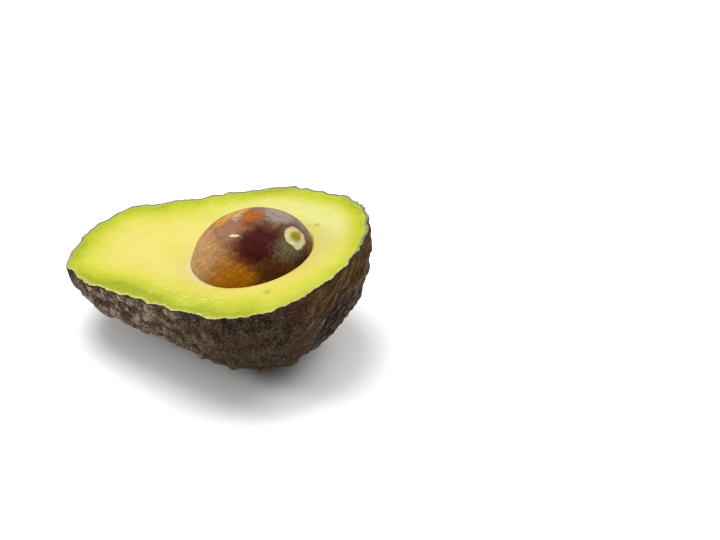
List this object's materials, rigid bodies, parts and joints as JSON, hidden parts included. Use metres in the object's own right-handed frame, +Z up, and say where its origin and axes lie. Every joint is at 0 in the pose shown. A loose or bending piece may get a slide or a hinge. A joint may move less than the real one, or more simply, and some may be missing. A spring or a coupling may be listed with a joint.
{
  "type": "avocado half",
  "caption": "Half of a ripe pear-shaped avocado, cut lengthways, lying on its pebbled skin with the cut face up and the round brown seed still in its hollow.",
  "frame": {"origin": "middle of the flat spot that the half rests on", "axes": "+Z up, +X along the fruit from the neck to the blossom end, +Y across it"},
  "size_m": [0.1008, 0.071, 0.0518],
  "materials": {
    "skin": "dark brown leathery rind with raised pebbles and olive and purple tints",
    "flesh": "moist smooth flesh, lime green at the rim and butter yellow towards the seed",
    "seed": "satin brown seed coat with tan, maroon and grey patches and a pale round end"
  },
  "bodies": {
    "root": {"skin": "skin", "flesh": "flesh", "seed": "seed"}
  },
  "joints": []
}
